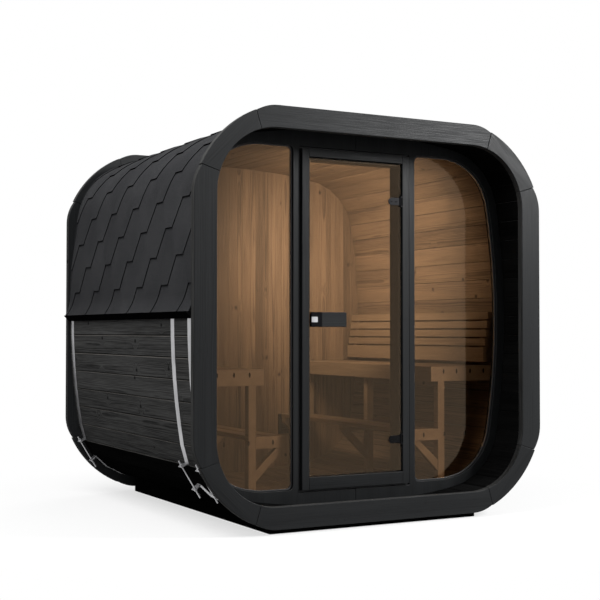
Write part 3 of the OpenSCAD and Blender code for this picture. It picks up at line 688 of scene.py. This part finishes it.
# %% Helpers for small fittings
def block(lo, hi):
    """A squared bar from one corner to the other."""
    lo, hi = Vector(lo), Vector(hi)
    bpy.ops.object.select_all(action="DESELECT")
    bpy.ops.mesh.primitive_cube_add(size=1, location=(lo + hi) / 2)
    bpy.ops.transform.resize(value=hi - lo, center_override=(lo + hi) / 2)
    bpy.ops.object.transform_apply(location=True, rotation=True, scale=True)
    return bpy.context.object


def turned(start, end, radius, sides=24):
    """A bar with this many sides from one point to another."""
    start, end = Vector(start), Vector(end)
    bpy.ops.object.select_all(action="DESELECT")
    bpy.ops.mesh.primitive_cylinder_add(
        vertices=sides, radius=radius, depth=(end - start).length, location=(start + end) / 2,
        rotation=(end - start).to_track_quat("Z", "Y").to_euler())
    bpy.ops.object.transform_apply(location=True, rotation=True, scale=True)
    return bpy.context.object


def faces_towards(piece, direction, least=0.95):
    """Select in edit mode only the faces that look this way."""
    only(piece)
    bpy.ops.object.mode_set(mode="EDIT")
    bpy.ops.mesh.select_mode(type="FACE")
    bpy.ops.mesh.select_all(action="DESELECT")
    bpy.ops.object.mode_set(mode="OBJECT")
    for face in piece.data.polygons:
        face.select = face.normal.dot(Vector(direction)) > least
    bpy.ops.object.mode_set(mode="EDIT")


def cap_screw(place, direction, radius, height):
    """A round screw head with a socket in its face."""
    direction = Vector(direction).normalized()
    head = turned(place, Vector(place) + direction * height, radius, 18)
    faces_towards(head, direction)
    bpy.ops.mesh.inset(thickness=radius * 0.45, depth=0)
    bpy.ops.mesh.extrude_region_move(
        TRANSFORM_OT_translate={"value": direction * height * -0.6})
    bpy.ops.object.mode_set(mode="OBJECT")
    return head


def joined(name, pieces, width):
    """One piece out of several, with soft edges."""
    only(*pieces)
    bpy.ops.object.join()
    made = bpy.context.object
    made.name = name
    made.data.name = name
    soften(made, width, 2)
    return made


# %% [markdown]
# ## The outline of the shell
# Seen from the front, the shell is a square with bowed sides and round corners: each side is an arc
# of large radius, and an arc of small radius that touches both sides makes the corner. Fittings and
# shingles follow this line, so it is written down once, measured from the widest point of the wall.

# %% The line of the roof
shell_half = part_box("right_wall_staves")[1].x
corner_radius = 0.399
bow_radius = 3.780
bow = bow_radius - shell_half
corner_place = (-bow + math.sqrt(2 * (bow_radius - corner_radius) ** 2 - bow ** 2)) / 2
corner_start = math.atan2(corner_place, corner_place + bow)
side_length = bow_radius * corner_start
corner_length = corner_radius * (math.pi / 2 - 2 * corner_start)
quarter = 2 * side_length + corner_length


def roof_point(length, off):
    """A point of the roof's right half, at this length from the widest point of the wall."""
    if length <= side_length:
        turn = length / bow_radius
        x = (bow_radius + off) * math.cos(turn) - bow
        z = (bow_radius + off) * math.sin(turn)
    elif length <= side_length + corner_length:
        turn = corner_start + (length - side_length) / corner_radius
        x = corner_place + (corner_radius + off) * math.cos(turn)
        z = corner_place + (corner_radius + off) * math.sin(turn)
    else:
        turn = (quarter - length) / bow_radius
        x = (bow_radius + off) * math.sin(turn)
        z = (bow_radius + off) * math.cos(turn) - bow
    return x, z + shell_middle


print("quarter", round(quarter, 4), "shell half", round(shell_half, 4))

# %% [markdown]
# ## Band tighteners
# Each band is closed in the lower corner of the wall by a threaded rod through two angle clips. A
# nut and a washer outside each clip pull the clips together. The rod and the clips come with the
# band, so only the nuts and washers are made: a six-sided bar cut to a nut's height, and a disc.

# %% Nuts and washers
upper_clip = math.radians(23)
lower_clip = math.radians(40)
rod_stand_off = 0.0307
clip_face = 0.0071
washer = 0.0016
washer_radius = 0.0115
nut_height = 0.0075
nut_radius = 0.0088


def corner_point(turn, off, y, side):
    """A point over the lower corner of the shell, turned down from the wall by this angle."""
    reach = corner_radius + off
    return Vector((side * (corner_place + reach * math.cos(turn)), y,
                   shell_middle - corner_place - reach * math.sin(turn)))


nuts = []
for band in ("band_front", "band_middle", "band_back"):
    y = (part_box(band)[0].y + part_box(band)[1].y) / 2
    for side in (-1, 1):
        top = corner_point(upper_clip, rod_stand_off, y, side)
        foot = corner_point(lower_clip, rod_stand_off, y, side)
        down = (foot - top).normalized()
        for seat, away in ((top - down * clip_face, -down), (foot + down * clip_face, down)):
            nuts.append(turned(seat, seat + away * washer, washer_radius))
            seat = seat + away * washer
            nuts.append(turned(seat, seat + away * nut_height, nut_radius, 6))
band_nuts = joined("band_nuts_and_washers", nuts, 0.0006)
finish(band_nuts, "sauna", "stainless", [], steel)
print("nuts and washers:", len(nuts))

# %% [markdown]
# ## Door fittings
# A soft seal on the stops behind the leaf closes the gap round the glass. Two cap screws hold each
# hinge clamp. The latch is a black case with a bright bolt across its left edge.

# %% Seal, screws and latch
leaf_lo, leaf_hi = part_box("door_leaf")
stop_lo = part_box("door_head")[0]
seal_wide = 0.007
stop_face = leaf_hi.y + 0.008
seal_y = (leaf_hi.y + 0.0006, stop_face - 0.0001)
stop_x = -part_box("door_jamb_left")[1].x
seal_top = stop_lo.z + seal_wide
seal_strips = [block((x, seal_y[0], leaf_lo.z), (x + seal_wide, seal_y[1], seal_top))
               for x in (-stop_x - seal_wide, stop_x)]
seal_strips.append(block((-stop_x, seal_y[0], stop_lo.z), (stop_x, seal_y[1], seal_top)))
door_seal = joined("door_seal", seal_strips, 0.002)
finish(door_seal, "sauna", "black_rubber", [], rubber)

clamp_lo, clamp_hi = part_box("door_hinge_clamps")
clamp_face = leaf_lo.y - 0.0052
clamp_half = 0.020
sunk = 0.0002
screws = [cap_screw((clamp_lo.x + reach, clamp_face + sunk, z), (0, -1, 0), 0.0052, 0.0028)
          for reach in (0.020, 0.050) for z in (clamp_lo.z + clamp_half, clamp_hi.z - clamp_half)]
clamp_screws = joined("hinge_clamp_screws", screws, 0.0004)
finish(clamp_screws, "door", "hinge_metal", [], hinge_metal)

latch = copy_of("latch_case", "door_latch")
latch_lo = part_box("door_latch")[0]
soften(latch, 0.0014, 2)
finish(latch, "door", "black_rubber", ["door_latch"], black_metal, steel)
bolt_depth = 0.0045
for face in latch.data.polygons:
    if face.center.y < latch_lo.y + bolt_depth:
        face.material_index = 1
print("door fittings ready")

# %% [markdown]
# ## Bench screws and the air vent
# The end boards of the benches are screwed on under long upright plugs, which show dark. The
# vent's cover is a dark wooden frame with sloping slats: its face is inset and sunk, and then one
# slat is sawn, tilted and repeated down the opening.

# %% Screws in the end boards
end_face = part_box("bench_frame_left")[0].y
plug_radius = 0.0055
plug_stretch = 2.4
plug_rows = ((0.7745, (0.605, 0.694, 0.788, 0.881)), (0.425, (0.47, 0.61, 0.75, 0.89)))


def slot_plug(x, z):
    """A long plug over a screw, on the front of an end board."""
    head = cap_screw((x, end_face + sunk, z), (0, -1, 0), plug_radius, 0.0014)
    bpy.ops.object.mode_set(mode="EDIT")
    bpy.ops.mesh.select_all(action="SELECT")
    bpy.ops.transform.resize(value=(1, 1, plug_stretch), center_override=(x, end_face, z))
    bpy.ops.object.mode_set(mode="OBJECT")
    return head


heads = []
for side in (-1, 1):
    for z, places in plug_rows:
        heads += [slot_plug(side * x, z) for x in places]
bench_screws = joined("bench_screws", heads, 0.0004)
finish(bench_screws, "sauna", "hinge_metal", [], black_metal)
print("bench screws:", len(heads))

# %% The vent cover
vent_lo, vent_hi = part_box("vent_cover")
vent_border = 0.017
vent_sunk = 0.011
vent_slats = 6
slat_half_thick = 0.002
slat_half_wide = 0.0075
slat_tilt = math.radians(-28)
vent_frame = copy_of("vent_cover_frame", "vent_cover")
faces_towards(vent_frame, (0, -1, 0))
bpy.ops.mesh.inset(thickness=vent_border, depth=0)
bpy.ops.mesh.extrude_region_move(TRANSFORM_OT_translate={"value": (0, vent_sunk, 0)})
bpy.ops.object.mode_set(mode="OBJECT")
slat_gap = (vent_hi.z - vent_lo.z - 2 * vent_border) / vent_slats
pieces = [vent_frame]
for number in range(vent_slats):
    z = vent_lo.z + vent_border + slat_gap * (number + 0.5)
    middle = Vector(((vent_lo.x + vent_hi.x) / 2, vent_lo.y + 0.007, z))
    slat = block((vent_lo.x + vent_border, middle.y - slat_half_thick, z - slat_half_wide),
                 (vent_hi.x - vent_border, middle.y + slat_half_thick, z + slat_half_wide))
    bpy.ops.object.mode_set(mode="EDIT")
    bpy.ops.mesh.select_all(action="SELECT")
    bpy.ops.transform.rotate(value=slat_tilt, orient_axis="X", center_override=middle)
    bpy.ops.object.mode_set(mode="OBJECT")
    pieces.append(slat)
vent = joined("vent_cover_with_slats", pieces, 0.0012)
lay_grain(vent, "vent", (1, 0, 0))
finish(vent, "sauna", "dark_wood", ["vent_cover"], charcoal)
print("vent slats:", vent_slats)

# %% [markdown]
# ## The shingles
# Bitumen shingles with six-sided tabs: every row covers the headlap of the row below, and each tab
# is a thin wedge, proud at its foot and flush at its head. One tab is shaped, copied over a flat
# sheet, trimmed with the sheet's edges, and then the sheet is laid over the roof.

# %% One tab and the sheet
row_rise = 0.1455
tab_flat = 0.093
tab_slant = 0.080
period = 2 * (tab_flat + tab_slant)
step = 0.004
base_off = 0.0004
edge_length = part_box("roof_shingles")[0].z - shell_middle
y0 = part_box("roof_shingles")[0].y
y1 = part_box("roof_shingles")[1].y
first_row = 0.158
first_tab = 0.02
flare_bends = 8
flare_bend = 0.012
corner_bends = 14


def tab_height(up):
    """Height of a tab's face above the shell, this far above its foot."""
    return base_off + step * (2 - up / row_rise)


bpy.ops.object.select_all(action="DESELECT")
bpy.ops.mesh.primitive_circle_add(vertices=6, radius=1, fill_type="NGON")
tab = bpy.context.object
tab.name = "roof_shingle_tabs"
tab.data.materials.append(bitumen)
tab.data.materials.append(black_edge_and_painted_shade)
outline = [(-tab_flat / 2, 0), (tab_flat / 2, 0), (tab_flat / 2 + tab_slant, row_rise),
           (tab_flat / 2, 2 * row_rise), (-tab_flat / 2, 2 * row_rise),
           (-tab_flat / 2 - tab_slant, row_rise)]
outline.sort(key=lambda p: math.atan2(p[1] - row_rise, p[0]))
corners = sorted(tab.data.vertices, key=lambda v: math.atan2(v.co.y, v.co.x))
for corner, (run, up) in zip(corners, outline):
    corner.co = (run, up, 0)
bpy.ops.object.mode_set(mode="EDIT")
bpy.ops.mesh.select_all(action="SELECT")
bpy.ops.mesh.normals_make_consistent(inside=False)
bpy.ops.mesh.extrude_region_move(TRANSFORM_OT_translate={"value": (0, 0, 1)})
bpy.ops.object.mode_set(mode="OBJECT")
for face in tab.data.polygons:
    face.material_index = 1 if abs(face.normal.z) < 0.5 else 0
for corner in tab.data.vertices:
    corner.co.z = tab_height(corner.co.y) if corner.co.z > 0.5 else 0.0
sheet = []
rows = int((quarter - first_row) / row_rise) + 2
for row in range(-2, rows):
    for column in range(-1, int((y1 - y0) / period) + 2):
        only(tab)
        bpy.ops.object.duplicate()
        twin = bpy.context.object
        start = y0 + first_tab + (column + (0.5 if row % 2 else 0.0)) * period
        for corner in twin.data.vertices:
            corner.co.x += start
            corner.co.y += first_row + row * row_rise
        sheet.append(twin)
bpy.data.objects.remove(tab)
only(*sheet)
bpy.ops.object.join()
shingles = bpy.context.object
shingles.name = "roof_shingle_tabs"
bpy.ops.object.mode_set(mode="EDIT")
for place, direction in (((y0, 0, 0), (-1, 0, 0)), ((y1, 0, 0), (1, 0, 0)),
                         ((0, edge_length, 0), (0, -1, 0)), ((0, quarter, 0), (0, 1, 0))):
    bpy.ops.mesh.select_all(action="SELECT")
    bpy.ops.mesh.bisect(plane_co=place, plane_no=direction, use_fill=True, clear_outer=True)
# lines across the sheet at which it can follow the roof's curve
lines = [edge_length + flare_bend * k for k in range(1, flare_bends + 1)]
lines += [side_length + corner_length * k / corner_bends for k in range(corner_bends + 1)]
for place in lines:
    bpy.ops.mesh.select_all(action="SELECT")
    bpy.ops.mesh.bisect(plane_co=(0, place, 0), plane_no=(0, 1, 0))
bpy.ops.object.mode_set(mode="OBJECT")
print("flat sheet:", len(shingles.data.polygons), "faces")

# %% Lay the sheet over both halves of the roof
flare_run = 0.095
flare_out = 0.024


def lay_on_roof(piece, side):
    """Bend a flat sheet round one half of the roof, with the flare at its lower edge."""
    for corner in piece.data.vertices:
        y, length, height = corner.co
        flare = flare_out * max(0.0, 1 - (length - edge_length) / flare_run) ** 2
        x, z = roof_point(length, height + flare + 0.0002)
        corner.co = (side * x, y, z)
    only(piece)
    bpy.ops.object.mode_set(mode="EDIT")
    bpy.ops.mesh.select_all(action="SELECT")
    bpy.ops.mesh.normals_make_consistent(inside=False)
    bpy.ops.object.mode_set(mode="OBJECT")


only(shingles)
bpy.ops.object.duplicate()
other_half = bpy.context.object
lay_on_roof(shingles, 1)
lay_on_roof(other_half, -1)
only(shingles, other_half)
bpy.ops.object.join()
only(shingles)
bpy.ops.object.shade_smooth_by_angle(angle=math.radians(20))
lay_grain(shingles, "tabs", (0, 1, 0))
finish(shingles, "sauna", "shingle", ["roof_shingles"])
print("shingles:", len(shingles.data.polygons), "faces", "from", round(edge_length, 4))

# %% [markdown]
# ## The ridge
# Where the rows of both sides meet, single shingles are nailed across the ridge, each lapping over
# the next. One is made as a flat wedge, copied along the ridge and laid over both halves at once.

# %% Ridge shingles
ridge_half = 0.15
ridge_row = 0.146
ridge_length = 0.24
ridge_base = base_off + 2 * step
ridge_step = 0.0028
ridge_lift = 0.0006
caps = []
for number in range(math.ceil((y1 - y0) / ridge_row)):
    start = y0 + number * ridge_row
    end = min(start + ridge_length, y1)
    cap = block((start, quarter - ridge_half, 0), (end, quarter + ridge_half, 1))
    for corner in cap.data.vertices:
        if corner.co.z > 0.5:
            lap = 1 - (corner.co.x - start) / ridge_length
            corner.co.z = ridge_base + ridge_lift + ridge_step * lap
        else:
            corner.co.z = base_off
    cap.data.materials.append(bitumen)
    cap.data.materials.append(black_edge_and_painted_shade)
    for face in cap.data.polygons:
        face.material_index = 1 if abs(face.normal.z) < 0.5 else 0
    caps.append(cap)
only(*caps)
bpy.ops.object.join()
ridge = bpy.context.object
ridge.name = "ridge_shingles"
bpy.ops.object.mode_set(mode="EDIT")
for number in range(1, 10):
    bpy.ops.mesh.select_all(action="SELECT")
    bpy.ops.mesh.bisect(plane_co=(0, quarter + ridge_half * (number / 5 - 1), 0),
                        plane_no=(0, 1, 0))
bpy.ops.object.mode_set(mode="OBJECT")
lay_on_roof(ridge, 1)
only(ridge)
bpy.ops.object.shade_smooth_by_angle(angle=math.radians(20))
lay_grain(ridge, "ridge", (0, 1, 0))
finish(ridge, "sauna", "shingle", [])
print("ridge shingles:", len(caps))

# %% [markdown]
# ## Floor and light
# A plain pale floor fades into a white background. Rays from the camera, and those that glass and
# metal send on, see it white, and it keeps a soft shadow. Light that it throws back at the sauna is
# weaker, as from paving.

# %% Floor
seen_floor = (0.88, 0.88, 0.88)
lighting_floor = (0.13, 0.13, 0.13)


def seen_rays(tree):
    """One for rays from the camera, from a gloss or through glass, and zero for the others."""
    paths = add(tree, "ShaderNodeLightPath")
    bounced = math_node(tree, "MAXIMUM", paths.outputs["Is Glossy Ray"],
                        paths.outputs["Is Transmission Ray"])
    return math_node(tree, "MAXIMUM", paths.outputs["Is Camera Ray"], bounced)


bpy.ops.object.select_all(action="DESELECT")
bpy.ops.mesh.primitive_circle_add(vertices=96, radius=9, fill_type="NGON", location=(0, 0, 0))
floor = bpy.context.object
floor.name = "studio_floor"
floor_paint, tree, shader = new_material("pale_floor", seen_floor, 0.9,
                                         Specular_IOR_Level=0.0)
seen = seen_rays(tree)
tree.links.new(mix_colours(tree, seen, (*lighting_floor, 1), (*seen_floor, 1)),
               shader.inputs["Base Color"])
place = add(tree, "ShaderNodeTexCoord").outputs["Object"]
far = add(tree, "ShaderNodeVectorMath", {0: place}, operation="LENGTH").outputs["Value"]
fade = math_node(tree, "MULTIPLY", ramp(tree, far, 0.9, 2.4, 0.66, 1.0), seen)
white = add(tree, "ShaderNodeEmission", {"Color": (1, 1, 1, 1), "Strength": 1.0})
both = add(tree, "ShaderNodeMixShader", {0: fade, 1: shader.outputs[0], 2: white.outputs[0]})
tree.links.new(both.outputs[0], tree.nodes["Material Output"].inputs["Surface"])
floor.data.materials.append(floor_paint)

# %% World and lamps
ambient = 0.17
warm_white = (1.0, 0.96, 0.90)
world = bpy.data.worlds.new("studio")
bpy.context.scene.world = world
world.use_nodes = True
tree = world.node_tree
tree.links.new(ramp(tree, seen_rays(tree), 0.0, 1.0, ambient, 1.0),
               tree.nodes["Background"].inputs["Strength"])
tree.nodes["Background"].inputs["Color"].default_value = (1, 1, 1, 1)


def softbox(name, location, target, size, energy, colour=(1, 1, 1), inside=False, spread=180):
    """A square lamp turned towards a point. A lamp in the room isn't seen through the glass."""
    bpy.ops.object.light_add(type="AREA", location=location)
    lamp = bpy.context.object
    lamp.name = name
    lamp.rotation_euler = (Vector(target) - Vector(location)).to_track_quat("-Z", "Y").to_euler()
    lamp.data.size = size
    lamp.data.energy = energy
    lamp.data.spread = math.radians(spread)
    lamp.data.color = colour
    lamp.visible_camera = False
    lamp.visible_glossy = not inside
    lamp.visible_transmission = not inside
    return lamp


softbox("key", (3.6, -4.2, 3.5), (0.3, -0.9, 1.3), 1.6, 400)
softbox("sky", (-3.2, -1.0, 5.0), (-0.6, 0, 1.2), 3.6, 320)
softbox("back", (3.2, 4.6, 3.6), (0.3, 0.5, 1.2), 3.0, 130)
softbox("room", (0.45, -0.3, 1.8), (0.5, 0.9, 1.45), 0.9, 8, warm_white, True, 100)
softbox("wall", (-0.3, -0.2, 1.65), (0.9, 0.5, 1.5), 0.5, 16, warm_white, True, 105)
